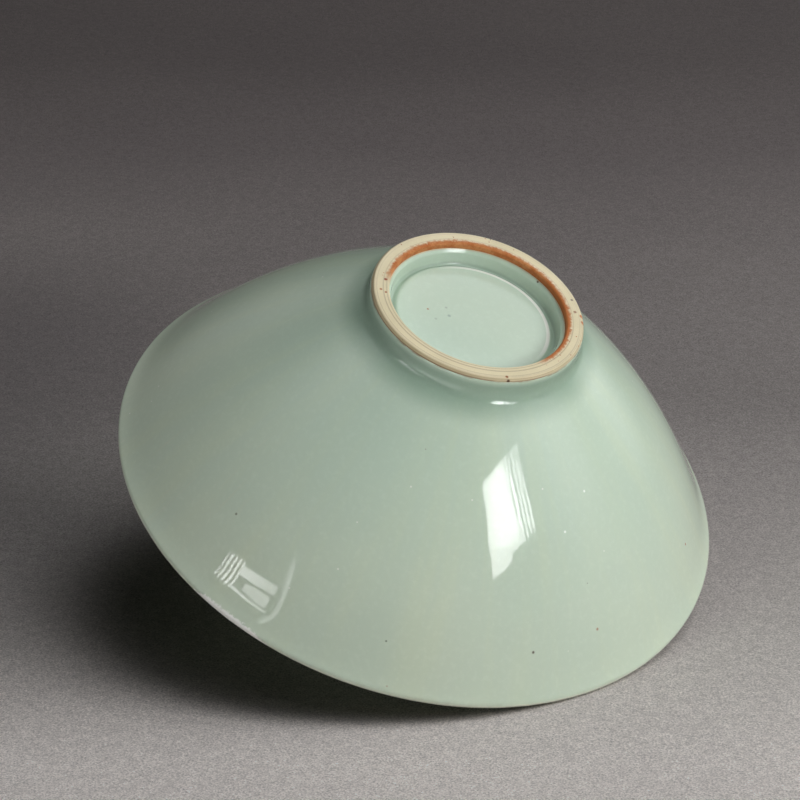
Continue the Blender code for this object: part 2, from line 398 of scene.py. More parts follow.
class Graph:
    """Short ways to add nodes to one tree. A value given to an input is a number, a colour or a socket."""

    def __init__(self, tree):
        self.tree = tree
        tree.nodes.clear()

    def add(self, kind, settings=None, **inputs):
        node = self.tree.nodes.new("ShaderNode" + kind)
        for key, value in (settings or {}).items():
            setattr(node, key, value)
        for key, value in inputs.items():
            self.feed(node.inputs[key.replace("_", " ")], value)
        return node

    def feed(self, socket, value):
        if isinstance(value, bpy.types.NodeSocket):
            self.tree.links.new(value, socket)
        else:
            socket.default_value = value

    def math(self, operation, *values):
        node = self.add("Math", {"operation": operation})
        for socket, value in zip(node.inputs, values):
            self.feed(socket, value)
        return node.outputs[0]

    def times(self, a, b):
        return self.math("MULTIPLY", a, b)

    def plus(self, a, b):
        return self.math("ADD", a, b)

    def minus(self, a, b):
        return self.math("SUBTRACT", a, b)

    def larger(self, a, b):
        return self.math("MAXIMUM", a, b)

    def mix(self, factor, a, b, blend="MIX"):
        node = self.add("Mix", {"data_type": "RGBA", "blend_type": blend})
        self.feed(node.inputs[MIX_FACTOR], factor)
        for socket, colour in ((node.inputs[MIX_FIRST], a), (node.inputs[MIX_SECOND], b)):
            self.feed(socket, colour if isinstance(colour, bpy.types.NodeSocket) else (*colour, 1.0))
        return node.outputs[MIX_RESULT]

    def mix_shader(self, factor, a, b):
        node = self.add("MixShader")
        for socket, value in zip(node.inputs, (factor, a, b)):
            self.feed(socket, value)
        return node.outputs[0]

    def add_shader(self, a, b):
        node = self.add("AddShader")
        self.feed(node.inputs[0], a)
        self.feed(node.inputs[1], b)
        return node.outputs[0]

    def step(self, value, low, high):
        """0 below low, 1 above high, and smooth between. low may be above high, for a step down."""
        smooth = {"interpolation_type": "SMOOTHSTEP"}
        return self.add("MapRange", smooth, Value=value, From_Min=low, From_Max=high).outputs[0]

    def ranged(self, value, low, high, to_low, to_high):
        """The value moved from the range low to high into another range, and kept inside it."""
        node = self.add("MapRange", None, Value=value, From_Min=low, From_Max=high, To_Min=to_low,
                        To_Max=to_high)
        return node.outputs[0]

    def band(self, value, low, high, soft):
        """1 between low and high, falling to 0 over soft on both sides."""
        rise = self.step(value, low - soft, low)
        fall = self.step(value, high + soft, high)
        return self.times(rise, fall)

    def noise(self, vector, scale, detail=2.0, roughness=0.5):
        node = self.add("TexNoise", None, Vector=vector, Scale=scale, Detail=detail, Roughness=roughness)
        return node.outputs[0]

    def combine(self, x, y, z):
        return self.add("CombineXYZ", None, X=x, Y=y, Z=z).outputs[0]

    def tinted(self, colour, by):
        return self.mix(1.0, colour, by, blend="MULTIPLY")

    def surface(self, shader):
        self.tree.links.new(shader, self.add("OutputMaterial").inputs[0])


def new_graph(name):
    material = bpy.data.materials.new(name)
    material.use_nodes = True
    return material, Graph(material.node_tree)


def on_the_bowl(g):
    """(place, radius, azimuth, height) of a point of the bowl, in metres and radians."""
    place = g.add("TexCoord").outputs["Object"]
    split = g.add("SeparateXYZ", None, Vector=place)
    x, y, z = split.outputs
    radius = g.math("SQRT", g.plus(g.times(x, x), g.times(y, y)))
    return place, radius, g.math("ARCTAN2", y, x), z


# ------------------------ materials of the bowl

CELADON = (0.545, 0.675, 0.545)       # the glaze at its usual depth
CELADON_THIN = (0.605, 0.70, 0.56)    # where it has run thin on the upper wall, and the clay warms it
CELADON_DEEP = (0.29, 0.41, 0.31)     # where it has pooled
CELADON_BREAK = (0.80, 0.80, 0.68)    # on an edge so sharp that it has nearly run off
CELADON_WORN_AND_HIGHLIT = (0.97, 0.98, 0.93)     # where the lip's glaze is rubbed thin, with a painted highlight laid over it
CELADON_STREAK = (0.66, 0.70, 0.54)   # in weathered streaks below the lip
RECESS_MIDDLE = (0.57, 0.70, 0.565)
RECESS_EDGE = (0.60, 0.73, 0.60)
RECESS_WALL = (0.60, 0.74, 0.60)
RECESS_BREAK = (0.92, 0.93, 0.86)     # on the raised edge of the recess's disc
RECESS_STAIN = (0.62, 0.50, 0.32)     # where the recess glaze ends on the clay
RUN_TINT = (1.03, 1.015, 0.985)       # what a run, a slow cloud and a fine bubble do to the glaze's colour
CLOUD_TINT = (0.955, 0.975, 0.99)
BUBBLE_TINT = (1.05, 1.04, 1.05)

CLAY = (0.84, 0.755, 0.53)
CLAY_WORN = (0.72, 0.635, 0.42)
# the turning tool's lines, and the painted shade on the ring's outer chamfer
CLAY_LINE_AND_SHADE = (0.42, 0.34, 0.20)
CLAY_DULL_TINT = (0.90, 0.90, 0.88)
CLAY_GRAIN_TINT = (1.12, 1.12, 1.1)
IRON = (0.20, 0.09, 0.035)
SCORCH = (0.28, 0.155, 0.075)
FLASH_LIGHT = (0.62, 0.26, 0.095)     # the kiln's orange flush where clay meets the recess glaze
FLASH_RED = (0.50, 0.15, 0.04)
FLASH_DARK = (0.47, 0.15, 0.04)

GLAZE_IOR = 1.52
GLAZE_SMOOTHEST, GLAZE_ROUGHEST = 0.012, 0.040
GLAZE_DIMPLE = 0.010 * MM
CLAY_IOR = 1.4
CLAY_SMOOTHEST, CLAY_ROUGHEST = 0.65, 0.95
CLAY_TOOTH = 0.05 * MM
LIP_BREAK_OUTSIDE = 2.3 * MM          # how far from the lip's crest its paler glaze starts, on either side
LIP_BREAK_INSIDE = 2.8 * MM
LIP_BREAK_FULL = 1.0 * MM
# the patch of lip that is rubbed thin and carries a painted highlight
WORN_HIGHLIT_LIP_WIDTH = 2.5 * MM
WORN_HIGHLIT_LIP_FRAY = 1.6 * MM
FLUSH_FRAY = 2.6 * MM

# specks strewn over the glaze: (closest spacing, size, share of the places that have one, colour)
GLAZE_SPECKS = [
    (5.0 * MM, 0.32 * MM, 0.16, (0.80, 0.84, 0.76)),
    (7.0 * MM, 0.30 * MM, 0.14, (0.30, 0.34, 0.26)),
    (11.0 * MM, 0.40 * MM, 0.12, (0.42, 0.26, 0.15)),
]

# single marks: ((radius, azimuth in degrees, height, size), colour)
GLAZE_MARKS = [
    ((72.2 * MM, -124.6, 50.1 * MM, 0.55 * MM), (0.16, 0.15, 0.11)),
    ((71.1 * MM, -140.1, 48.6 * MM, 0.60 * MM), (0.45, 0.30, 0.20)),
    ((71.2 * MM, -176.4, 48.6 * MM, 0.50 * MM), (0.48, 0.26, 0.20)),
    ((48.5 * MM, -145.7, 23.1 * MM, 0.45 * MM), (0.90, 0.95, 0.88)),
    ((54.2 * MM, -135.6, 28.5 * MM, 0.45 * MM), (0.90, 0.95, 0.88)),
    ((67.5 * MM, -54.8, 43.6 * MM, 0.45 * MM), (0.26, 0.30, 0.22)),
    ((72.5 * MM, -94.8, 50.6 * MM, 0.40 * MM), (0.24, 0.30, 0.22)),
]
RECESS_MARKS = [
    ((7.4 * MM, 3.0, 5.0 * MM, 0.45 * MM), (0.42, 0.52, 0.42)),
    ((6.4 * MM, -21.0, 5.0 * MM, 0.60 * MM), (0.38, 0.50, 0.42)),
    ((10.2 * MM, -30.0, 5.1 * MM, 0.50 * MM), (0.45, 0.56, 0.45)),
    ((22.6 * MM, 123.0, 1.9 * MM, 0.45 * MM), (0.12, 0.08, 0.05)),
]
RING_MARKS = [
    ((26.5 * MM, -117.9, 0.0, 0.55 * MM), (0.28, 0.10, 0.03)),
    ((27.3 * MM, -118.5, 0.7 * MM, 0.60 * MM), (0.10, 0.05, 0.02)),
    ((25.2 * MM, -17.3, 0.0, 0.50 * MM), (0.48, 0.20, 0.08)),
    ((24.0 * MM, -19.4, 0.0, 0.45 * MM), (0.40, 0.14, 0.05)),
    ((24.1 * MM, -7.6, 0.0, 0.60 * MM), (0.30, 0.07, 0.03)),
    ((26.0 * MM, 147.4, 0.0, 0.50 * MM), (0.33, 0.27, 0.20)),
    ((25.5 * MM, 157.5, 0.0, 0.60 * MM), (0.40, 0.24, 0.14)),
    ((27.1 * MM, 160.5, 0.2 * MM, 0.90 * MM), (0.55, 0.19, 0.06)),
    ((27.2 * MM, 165.5, 0.3 * MM, 0.90 * MM), (0.50, 0.15, 0.05)),
]


def near_azimuth(g, azimuth, middle, half, soft):
    """1 within half of the middle azimuth, falling to 0 over soft more, all in degrees. It wraps round."""
    away = g.math("COSINE", g.minus(azimuth, math.radians(middle)))
    return g.step(away, math.cos(math.radians(min(half + soft, 180))), math.cos(math.radians(half)))


def ragged(g, place, scale, reach, detail=3.0, roughness=0.6):
    """Noise spread evenly to both sides of 0, reach across from end to end, to fray an edge."""
    return g.times(g.minus(g.noise(place, scale, detail, roughness), 0.5), reach)


def run_marks(g, azimuth, radius, fineness, length):
    """Noise drawn out along the wall from foot to rim, as runs in a glaze are. It joins up all round."""
    along = g.times(radius, 1.0 / length)
    ring = g.combine(g.times(g.math("COSINE", azimuth), fineness),
                     g.times(g.math("SINE", azimuth), fineness), along)
    return g.noise(ring, 1.0, detail=3.0, roughness=0.55)


def turning_marks(g, radius, height, pitch):
    """Noise that changes across the outline only, as the lines of a turning tool do."""
    line = g.combine(g.times(radius, 1.0 / pitch), g.times(height, 1.0 / pitch), 0.0)
    return g.noise(line, 1.0, detail=3.0, roughness=0.6)


def specks(g, place, spacing, size, share):
    """Sparse round dots: about one spacing apart, and present in only this share of the places."""
    dots = g.add("TexVoronoi", None, Vector=place, Scale=1.0 / spacing)
    chance = g.add("SeparateXYZ", None, Vector=dots.outputs["Color"]).outputs[0]
    chosen = g.math("LESS_THAN", chance, share)
    return g.times(g.step(dots.outputs["Distance"], size / spacing, 0.45 * size / spacing), chosen)


def mark(g, place, radius, azimuth, height, size):
    """One dot on the bowl, at a place given by its radius, azimuth in degrees, and height."""
    angle = math.radians(azimuth)
    away = g.add("VectorMath", {"operation": "DISTANCE"})
    g.feed(away.inputs[0], place)
    g.feed(away.inputs[1], (radius * math.cos(angle), radius * math.sin(angle), height))
    return g.step(away.outputs["Value"], size, 0.4 * size)


def marked(g, place, colour, marks):
    for where, tone in marks:
        colour = g.mix(mark(g, place, *where), colour, tone)
    return colour


def aged(g, place, colour):
    """Slow changes of tone over the glaze, a fine mottle of bubbles under its skin, and strewn specks."""
    slow = g.noise(place, 28.0)
    fine = g.noise(place, 700.0, detail=4.0, roughness=0.65)
    colour = g.mix(g.step(slow, 0.35, 0.7), colour, g.tinted(colour, CLOUD_TINT))
    colour = g.mix(g.step(fine, 0.45, 0.75), colour, g.tinted(colour, BUBBLE_TINT))
    for spacing, size, share, tone in GLAZE_SPECKS:
        colour = g.mix(specks(g, place, spacing, size, share), colour, tone)
    return colour


def run_celadon(g, radius, thin_from, runs):
    """The glaze of a wall: thinner beyond a radius, and warmer where it has run."""
    colour = g.mix(g.step(radius, thin_from, RIM_RADIUS), CELADON, CELADON_THIN)
    return g.mix(g.step(runs, 0.42, 0.70), colour, g.tinted(colour, RUN_TINT))


def broken_lip(g, radius, height, colour, start):
    """The paler glaze on the lip's rounding. The lip's crest is where radius and height add up to most."""
    crest = RIM_RADIUS + BOWL_HEIGHT
    lip = g.step(g.plus(radius, height), crest - start, crest - LIP_BREAK_FULL)
    return g.mix(g.times(lip, 0.7), colour, CELADON_BREAK)


def glaze_surface(g, place, colour, runs=None):
    """The glassy skin: a colour below a clear, slightly dimpled gloss, with its runs if it has any."""
    uneven = g.times(g.noise(place, 160.0), 0.8)
    dimples = g.times(g.noise(place, 900.0), 0.06)
    height = g.plus(uneven, dimples)
    if runs is not None:
        height = g.plus(height, g.times(runs, 1.5))
    bump = g.add("Bump", None, Strength=1.0, Distance=GLAZE_DIMPLE, Height=height)
    gloss = g.ranged(g.noise(place, 60.0, detail=4.0), 0.3, 0.7, GLAZE_SMOOTHEST, GLAZE_ROUGHEST)
    shader = g.add("BsdfPrincipled", None, Base_Color=colour, Roughness=gloss, IOR=GLAZE_IOR,
                   Normal=bump.outputs[0])
    g.surface(shader.outputs[0])


def worn_and_highlit_lip(g, place, azimuth, height, colour):
    """The length of lip that is rubbed pale and carries a painted highlight, with a frayed lower edge."""
    width = g.times(near_azimuth(g, azimuth, middle=-66, half=3, soft=8), WORN_HIGHLIT_LIP_WIDTH)
    frayed = ragged(g, place, 1100.0, WORN_HIGHLIT_LIP_FRAY)
    below = g.minus(g.minus(BOWL_HEIGHT, height), g.plus(width, frayed))
    return g.mix(g.step(below, 0.15 * MM, -0.35 * MM), colour, CELADON_WORN_AND_HIGHLIT)


def outside_celadon():
    material, g = new_graph("celadon_outside")
    place, radius, azimuth, height = on_the_bowl(g)
    runs = run_marks(g, azimuth, radius, 9.0, 60 * MM)
    colour = run_celadon(g, radius, 35 * MM, runs)
    streaks = g.step(run_marks(g, azimuth, radius, 55.0, 25 * MM), 0.60, 0.76)
    below_lip = g.band(radius, 60 * MM, 77 * MM, soft=9 * MM)
    weathered = g.times(near_azimuth(g, azimuth, middle=-30, half=18, soft=25), below_lip)
    colour = g.mix(g.times(g.times(streaks, weathered), 0.45), colour, CELADON_STREAK)
    pooled = g.times(g.step(radius, 35.0 * MM, 28.5 * MM), g.step(height, 0.8 * MM, 3.0 * MM))
    colour = g.mix(g.times(pooled, 0.85), colour, CELADON_DEEP)
    colour = marked(g, place, aged(g, place, colour), GLAZE_MARKS)
    colour = broken_lip(g, radius, height, colour, LIP_BREAK_OUTSIDE)
    # the lip's rubbed glaze, with a painted highlight on it
    colour = worn_and_highlit_lip(g, place, azimuth, height, colour)
    edge = g.step(height, OUTER_BARE_HEIGHT + 0.4 * MM, OUTER_BARE_HEIGHT + 0.05 * MM)
    scorched = g.times(g.step(g.noise(place, 220.0), 0.40, 0.65), 0.55)
    colour = g.mix(g.times(edge, scorched), colour, SCORCH)
    glaze_surface(g, place, colour, runs)
    return material


def inside_celadon():
    material, g = new_graph("celadon_inside")
    place, radius, azimuth, height = on_the_bowl(g)
    runs = run_marks(g, azimuth, radius, 8.0, 50 * MM)
    colour = run_celadon(g, radius, 30 * MM, runs)
    pooled = g.step(radius, 24 * MM, 4 * MM)
    colour = g.mix(g.times(pooled, 0.35), colour, CELADON_DEEP)
    colour = broken_lip(g, radius, height, aged(g, place, colour), LIP_BREAK_INSIDE)
    glaze_surface(g, place, colour, runs)
    return material


def foot_celadon():
    material, g = new_graph("celadon_foot")
    place, radius, azimuth, height = on_the_bowl(g)
    colour = g.mix(g.step(radius, 8 * MM, 19 * MM), RECESS_MIDDLE, RECESS_EDGE)
    groove_edge = RECESS_GROOVE_RADIUS + 0.3 * MM
    groove = g.band(radius, RECESS_DISC_RADIUS + 0.5 * MM, groove_edge, soft=0.8 * MM)
    colour = g.mix(g.times(groove, 0.6), colour, CELADON_DEEP)
    colour = g.mix(g.step(radius, groove_edge, RECESS_GROOVE_RADIUS + 0.9 * MM), colour, RECESS_WALL)
    disc_edge = g.band(radius, RECESS_DISC_RADIUS - 0.75 * MM, RECESS_DISC_RADIUS - 0.05 * MM, soft=0.25 * MM)
    broken = g.times(disc_edge, near_azimuth(g, azimuth, middle=125, half=45, soft=35))
    colour = g.mix(g.times(broken, 0.9), colour, RECESS_BREAK)
    colour = marked(g, place, aged(g, place, colour), RECESS_MARKS)
    edge = g.step(height, INNER_BARE_HEIGHT + 0.35 * MM, INNER_BARE_HEIGHT + 0.05 * MM)
    colour = g.mix(g.times(edge, 0.6), colour, RECESS_STAIN)
    glaze_surface(g, place, colour)
    return material


def worn_clay(g, place, azimuth, lines, grain):
    """Pale clay, cut by the turning tool's lines, and more worn on one side."""
    wear = g.noise(place, 75.0, detail=4.0, roughness=0.6)
    colour = g.mix(g.step(wear, 0.35, 0.65), CLAY, g.tinted(CLAY, CLAY_DULL_TINT))
    worn_side = near_azimuth(g, azimuth, middle=-100, half=60, soft=50)
    colour = g.mix(g.times(worn_side, 0.35), colour, CLAY_WORN)
    cut = g.times(g.step(lines, 0.50, 0.36), g.plus(g.times(worn_side, 0.5), 0.35))
    colour = g.mix(cut, colour, CLAY_LINE_AND_SHADE)
    colour = g.mix(g.times(g.step(grain, 0.55, 0.75), 0.5), colour, g.tinted(CLAY, CLAY_GRAIN_TINT))
    return g.mix(g.times(g.step(grain, 0.45, 0.25), 0.5), colour, CLAY_WORN)


def scorched_rim(g, place, radius, azimuth, height, colour):
    """The ring's outer chamfer, darkened partly as duller clay and partly as painted shade, deepest on one
    side, with a line of iron where the outer glaze starts.
    """
    outer = g.step(radius, RING_OUTER_RADIUS - RING_OUTER_CHAMFER - 0.05 * MM, RING_OUTER_RADIUS - 0.2 * MM)
    shade_and_iron_side = near_azimuth(g, azimuth, middle=-45, half=45, soft=30)
    # painted shade: the chamfer is darkened with the line colour, more strongly on the shaded side
    colour = g.mix(g.times(outer, g.plus(0.55, g.times(shade_and_iron_side, 0.30))), colour, CLAY_LINE_AND_SHADE)
    # the iron line is made solid on that same side
    patches = g.larger(g.step(g.noise(place, 130.0, detail=3.0), 0.40, 0.62), shade_and_iron_side)
    line = g.step(height, OUTER_BARE_HEIGHT - 0.45 * MM, OUTER_BARE_HEIGHT - 0.1 * MM)
    return g.mix(g.times(g.times(g.times(outer, line), patches), 0.8), colour, SCORCH)


def kiln_flush(g, place, radius, azimuth, height, colour):
    """The orange flush on the ring's inner wall: frayed at its edge, darker at one end, with dark spots."""
    inward = g.plus(g.minus(height, radius), ragged(g, place, 900.0, FLUSH_FRAY, detail=4.0, roughness=0.75))
    on_wall = g.step(inward, -24.6 * MM, -23.5 * MM)
    flush = g.times(on_wall, near_azimuth(g, azimuth, middle=105, half=102, soft=14))
    patches = g.noise(place, 420.0, detail=4.0, roughness=0.7)
    hue = g.mix(g.step(patches, 0.35, 0.65), FLASH_LIGHT, FLASH_RED)
    darker_end = near_azimuth(g, azimuth, middle=175, half=35, soft=30)
    colour = g.mix(flush, colour, g.mix(g.times(darker_end, 0.8), hue, FLASH_DARK))
    dots = specks(g, place, 1.3 * MM, 0.22 * MM, 0.30)
    return g.mix(g.times(dots, near_azimuth(g, azimuth, middle=105, half=100, soft=30)), colour, FLASH_DARK)


def bare_clay():
    material, g = new_graph("bare_clay")
    place, radius, azimuth, height = on_the_bowl(g)
    lines = turning_marks(g, radius, height, 0.42 * MM)
    grain = g.noise(place, 2600.0, detail=3.0, roughness=0.7)
    colour = worn_clay(g, place, azimuth, lines, grain)
    colour = scorched_rim(g, place, radius, azimuth, height, colour)
    colour = kiln_flush(g, place, radius, azimuth, height, colour)
    colour = g.mix(specks(g, place, 2.4 * MM, 0.20 * MM, 0.25), colour, IRON)
    colour = marked(g, place, colour, RING_MARKS)
    relief = g.plus(g.times(grain, 0.5), g.times(lines, 0.8))
    bump = g.add("Bump", None, Strength=1.0, Distance=CLAY_TOOTH, Height=relief)
    rough = g.ranged(grain, 0.0, 1.0, CLAY_SMOOTHEST, CLAY_ROUGHEST)
    shader = g.add("BsdfPrincipled", None, Base_Color=colour, Roughness=rough, IOR=CLAY_IOR,
                   Normal=bump.outputs[0])
    g.surface(shader.outputs[0])
    return material


# ------------------------ the four pieces

PIECES = [
    ("clay", clay_outline(), False, bare_clay(), "clay_body", "bare_clay"),
    ("outside_glaze", outer_glaze_outline(), True, outside_celadon(), "outer_glaze", "celadon_outside"),
    ("inside_glaze", inner_glaze_outline(), False, inside_celadon(), "inner_glaze", "celadon_inside"),
    ("foot_glaze", recess_glaze_outline(), False, foot_celadon(), "foot_recess_glaze", "celadon_foot"),
]
for name, outline, closed, material, node, slot in PIECES:
    piece = turned(name, outline, closed)
    piece.data.materials.append(material)
    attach(piece, "root")
    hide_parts(node)


# ------------------------ the camera, and the lying bowl's own directions

TIP_ANGLE = math.radians(24.4)       # how far the bowl's axis leans from the vertical as it lies on its lip
TIP_AZIMUTH = math.radians(42.7)     # which way, in the frame

floor_up = Vector((
    math.sin(TIP_ANGLE) * math.cos(TIP_AZIMUTH),
    math.sin(TIP_ANGLE) * math.sin(TIP_AZIMUTH),
    -math.cos(TIP_ANGLE),
))
down_lean = Vector((-math.cos(TIP_AZIMUTH), -math.sin(TIP_AZIMUTH), 0.0))
lip_touch = down_lean * LIP_CENTRE.x + Vector((0.0, 0.0, LIP_CENTRE.y)) - floor_up * LIP_THICKNESS / 2

CAMERA_PLACE = Vector((0.0, -0.58807, -0.46475))
CAMERA_AIM = Vector((0.01088, 0.0, 0.03850))
CAMERA_LENS = 135.0
SENSOR = 36.0

look = (CAMERA_AIM - CAMERA_PLACE).normalized()
camera_right = look.cross(floor_up).normalized()
level_ahead = floor_up.cross(camera_right).normalized()
bowl_middle = Vector((0.0, 0.0, BOWL_HEIGHT / 2))


def make_camera():
    data = bpy.data.cameras.new("main_camera")
    data.lens = CAMERA_LENS
    data.sensor_width = SENSOR
    data.clip_start = 0.01
    camera = bpy.data.objects.new("main_camera", data)
    bpy.context.scene.collection.objects.link(camera)
    up = camera_right.cross(look)
    axes = Matrix((camera_right, up, -look)).transposed().to_4x4()
    camera.matrix_world = Matrix.Translation(CAMERA_PLACE) @ axes
    bpy.context.scene.camera = camera


def seen_from_bowl(azimuth, elevation, distance):
    """A place in the main camera's room: azimuth 0 is straight ahead of the camera, and 90 to its right."""
    a, e = math.radians(azimuth), math.radians(elevation)
    level = camera_right * math.sin(a) + level_ahead * math.cos(a)
    return bowl_middle + (level * math.cos(e) + floor_up * math.sin(e)) * distance


# ------------------------ the two rooms: the main camera's, and the one that every other view sees

BLACK = (0.0, 0.0, 0.0)
WHITE = (1.0, 1.0, 1.0)
ROOM_LIGHT = (0.30, 0.30, 0.31)      # from all round the standing bowl
PANE_HALF_SIZE = 0.30
PANE_HEIGHT = -4.0 * MM


def sheet(name, corners, material):
    """One flat face with a UV map that runs from its first corner to the third."""
    mesh = bpy.data.meshes.new(name)
    mesh.from_pydata([tuple(c) for c in corners], [], [(0, 1, 2, 3)])
    uv = mesh.uv_layers.new(name="UVMap")
    for loop, place in zip(uv.data, ((0, 0), (1, 0), (1, 1), (0, 1))):
        loop.uv = place
    mesh.materials.append(material)
    obj = bpy.data.objects.new(name, mesh)
    bpy.context.scene.collection.objects.link(obj)
    return obj


def oblong(middle, half_across, half_up):
    """The four corners of a sheet, from its middle and the two ways it reaches."""
    return [middle - half_across - half_up, middle + half_across - half_up,
            middle + half_across + half_up, middle - half_across + half_up]


def on_sheet(g):
    """(across, up) on a sheet, each from 0 to 1."""
    return g.add("SeparateXYZ", None, Vector=g.add("UVMap").outputs[0]).outputs[:2]


def through_window(g):
    """1 for light that reaches the main camera through its clear pane, and 0 for any other."""
    return g.math("GREATER_THAN", g.add("LightPath").outputs["Transmission Depth"], 0.5)


def shown_only_in(g, window_room):
    """1 where the light belongs to this room: the main camera's, or the one that everything else sees."""
    seen = through_window(g)
    return seen if window_room else g.minus(1.0, seen)


def clear_pane():
    """The main camera's window. It bends nothing, and no ray but the camera's own meets it."""
    material, g = new_graph("clear_pane")
    g.surface(g.add("BsdfRefraction", None, Roughness=0.0, IOR=1.0).outputs[0])
    half_x, half_y = Vector((PANE_HALF_SIZE, 0.0, 0.0)), Vector((0.0, PANE_HALF_SIZE, 0.0))
    pane = sheet("camera_window", oblong(Vector((0.0, 0.0, PANE_HEIGHT)), half_x, half_y), material)
    for ray in ("diffuse", "glossy", "transmission", "volume_scatter", "shadow"):
        setattr(pane, "visible_" + ray, False)


def make_world():
    world = bpy.data.worlds.new("room")
    bpy.context.scene.world = world
    world.use_nodes = True
    g = Graph(world.node_tree)
    background = g.add("Background", None, Color=g.mix(through_window(g), ROOM_LIGHT, BLACK))
    g.tree.links.new(background.outputs[0], g.add("OutputWorld").inputs[0])


# ------------------------ floors

FLOOR_NEAR, FLOOR_FAR, FLOOR_SIDE = -0.8, 2.4, 1.2    # the lying floor, from where the lip touches it
PAPER_GRAIN = 0.5 * MM
GRAIN_LIGHT, GRAIN_DARK = (1.55, 1.55, 1.53), (0.50, 0.50, 0.51)
MOTTLE_LIGHT, MOTTLE_DARK = (1.05, 1.05, 1.05), (0.95, 0.95, 0.95)
CLOUD_DARK = (0.95, 0.95, 0.955)
# tint of the painted shadow on the lying floor, behind the bowl to the left
PAINTED_SHADOW_TINT = (0.60, 0.60, 0.61)
TABLE_TONE = (0.60, 0.59, 0.575)
TABLE_DROP = 0.2 * MM                # keeps the table's face clear of the foot's
BACKDROP_START, BACKDROP_RADIUS, BACKDROP_TOP = 1.9, 2.4, 2.2

# painted light falloff: the paper's tone falls off behind the bowl as the light would: (distance behind the
# lip's touching point, tone)
PAINTED_FALLOFF_TONES = [(-0.04, 0.76), (0.006, 0.60), (0.052, 0.48), (0.117, 0.37), (0.193, 0.26), (0.254, 0.255),
               (0.334, 0.22), (0.453, 0.16), (0.582, 0.125)]


def flooring(name, tone, window_room):
    """Paper with a fine speckle of fibres. Its tone is a colour, or a function that gives a colour socket."""
    material, g = new_graph(name)
    shown = shown_only_in(g, window_room)
    if not window_room:
        behind = g.add("NewGeometry").outputs["Backfacing"]
        shown = g.times(shown, g.minus(1.0, behind))
    place = g.add("TexCoord").outputs["Object"]
    grain = g.noise(place, 1.0 / PAPER_GRAIN, detail=3.0, roughness=0.7)
    mottle = g.noise(place, 0.2 / PAPER_GRAIN)
    cloud = g.noise(place, 9.0, detail=3.0)
    colour = tone(g) if callable(tone) else tone
    colour = g.mix(g.step(grain, 0.42, 0.72), colour, g.tinted(colour, GRAIN_LIGHT))
    colour = g.mix(g.step(grain, 0.48, 0.22), colour, g.tinted(colour, GRAIN_DARK))
    colour = g.mix(g.step(mottle, 0.35, 0.65), g.tinted(colour, MOTTLE_DARK), g.tinted(colour, MOTTLE_LIGHT))
    colour = g.mix(g.step(cloud, 0.35, 0.70), colour, g.tinted(colour, CLOUD_DARK))
    paper = g.add("BsdfDiffuse", None, Color=colour, Roughness=0.6)
    g.surface(g.mix_shader(shown, g.add("BsdfTransparent").outputs[0], paper.outputs[0]))
    return material


def painted_falloff_tone(g):
    """The lying floor's warm grey, with painted light falloff that darkens it behind the bowl, and a painted
    shadow behind it to the left.
    """
    across, along = on_sheet(g)
    # painted light falloff: the paper is darker the further behind the bowl it lies
    ramp = g.add("ValToRGB", None, Fac=along)
    stops = ramp.color_ramp.elements
    while len(stops) < len(PAINTED_FALLOFF_TONES):
        stops.new(0.5)
    for stop, (behind, level) in zip(stops, PAINTED_FALLOFF_TONES):
        stop.position = (behind - FLOOR_NEAR) / (FLOOR_FAR - FLOOR_NEAR)
        far = min(max(behind / 0.5, 0.0), 1.0)
        stop.color = (level * (1.06 + 0.06 * far), level, level * (0.97 + 0.02 * far), 1.0)
    behind = g.plus(g.times(along, FLOOR_FAR - FLOOR_NEAR), FLOOR_NEAR)
    sideways = g.times(g.minus(across, 0.5), 2 * FLOOR_SIDE)
    # painted shadow of the bowl on the floor, behind it to the left
    painted_shadow = g.times(g.step(sideways, -0.03, -0.20), g.band(behind, 0.12, 0.25, soft=0.12))
    return g.mix(painted_shadow, ramp.outputs[0], g.tinted(ramp.outputs[0], PAINTED_SHADOW_TINT))


def lying_floor():
    """The floor that the bowl's lip rests on in the main view."""
    middle = lip_touch + level_ahead * (FLOOR_NEAR + FLOOR_FAR) / 2
    corners = oblong(middle, camera_right * FLOOR_SIDE, level_ahead * (FLOOR_FAR - FLOOR_NEAR) / 2)
    sheet("lying_floor", corners, flooring("lying_floor", painted_falloff_tone, True))


def standing_floor():
    """The table and round backdrop that the bowl stands on in every other view."""
    outline = rounded([
        (0.0, -TABLE_DROP, 0.0),
        (BACKDROP_START, -TABLE_DROP, 0.5),
        (BACKDROP_RADIUS, 1.0, 0.3),
        (BACKDROP_RADIUS, BACKDROP_TOP, 0.0),
    ], steps=12)
    floor = turned("standing_floor", outline, steps=96, hand_made=False)
    floor.data.materials.append(flooring("standing_floor", TABLE_TONE, False))


# ------------------------ lamps

KEY_STRENGTH = 10.5
SIDE_STRENGTH = 8.0
CARD_STRENGTH = 1.5
OVERHEAD_STRENGTH = 3.4
SOFTBOX_STRENGTH = 7.0

# corners of the lamps that the glaze mirrors: (azimuth, elevation, distance), as seen from the bowl
KEY_CORNERS = [(146.7, 3.7, 0.346), (125.8, 8.6, 0.439), (127.7, 23.4, 0.433), (147.9, 23.1, 0.335)]
SIDE_CORNERS = [(-147.0, 5.0, 0.655), (-122.0, 5.0, 0.655), (-122.0, 21.0, 0.655), (-147.0, 21.0, 0.655)]

# a bright card on the floor in front of the view: places across and ahead of the camera's foot
CARD_LEFT, CARD_RIGHT, CARD_NEAR, CARD_FAR = -0.35, 0.0, 0.25, 0.56
CARD_LIFT = 4 * MM

